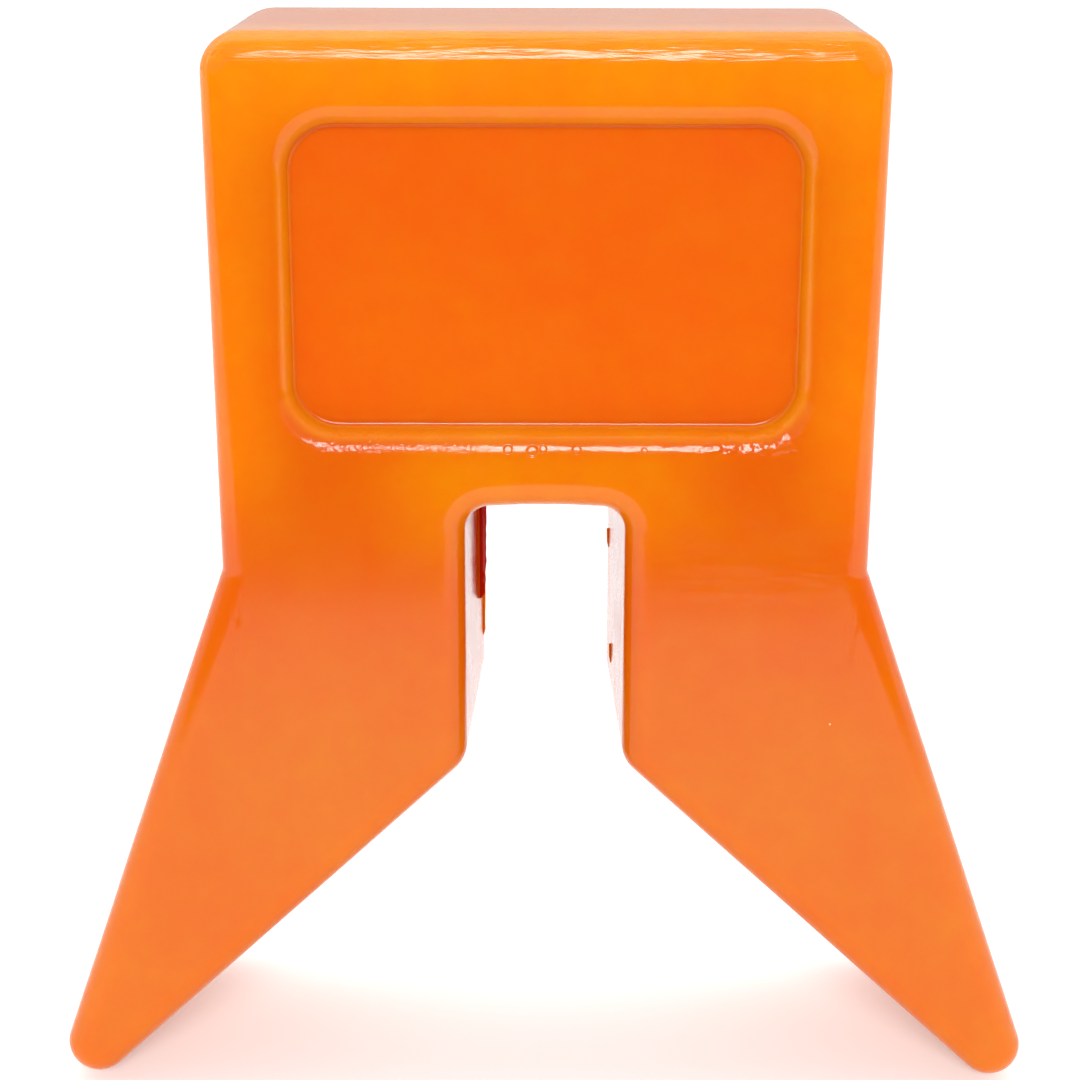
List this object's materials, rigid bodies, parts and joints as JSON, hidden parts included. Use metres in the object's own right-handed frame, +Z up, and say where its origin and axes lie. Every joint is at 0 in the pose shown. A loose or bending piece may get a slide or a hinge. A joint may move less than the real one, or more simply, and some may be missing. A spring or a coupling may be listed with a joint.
{
  "type": "trailer bow stop",
  "caption": "V-shaped cast polyurethane bow stop for a boat trailer: rectangular block with a front recess, relief slot, two splayed legs and a steel bolt sleeve across its middle.",
  "frame": {"origin": "under the middle of the block, in the plane that its two leg tips stand on", "axes": "+Z up from the leg tips to the flat top, +X along the bolt from cheek to cheek, +Y from the recessed front face to the flat back face"},
  "size_m": [0.117, 0.0348, 0.1253],
  "materials": {
    "cast_polyurethane": "glossy open-mould cast surface, slightly translucent orange",
    "zinc_plated_steel": "bright zinc-plated cut tube, satin"
  },
  "bodies": {
    "block": {"moulded_block": "cast_polyurethane"},
    "sleeve": {"bolt_sleeve": "zinc_plated_steel"}
  },
  "joints": [
    {"name": "sleeve_turn", "type": "hinge", "parent": "block", "child": "sleeve", "pos_m": [0, 0, 0.09778], "axis": [1, 0, 0], "continuous": true}
  ]
}
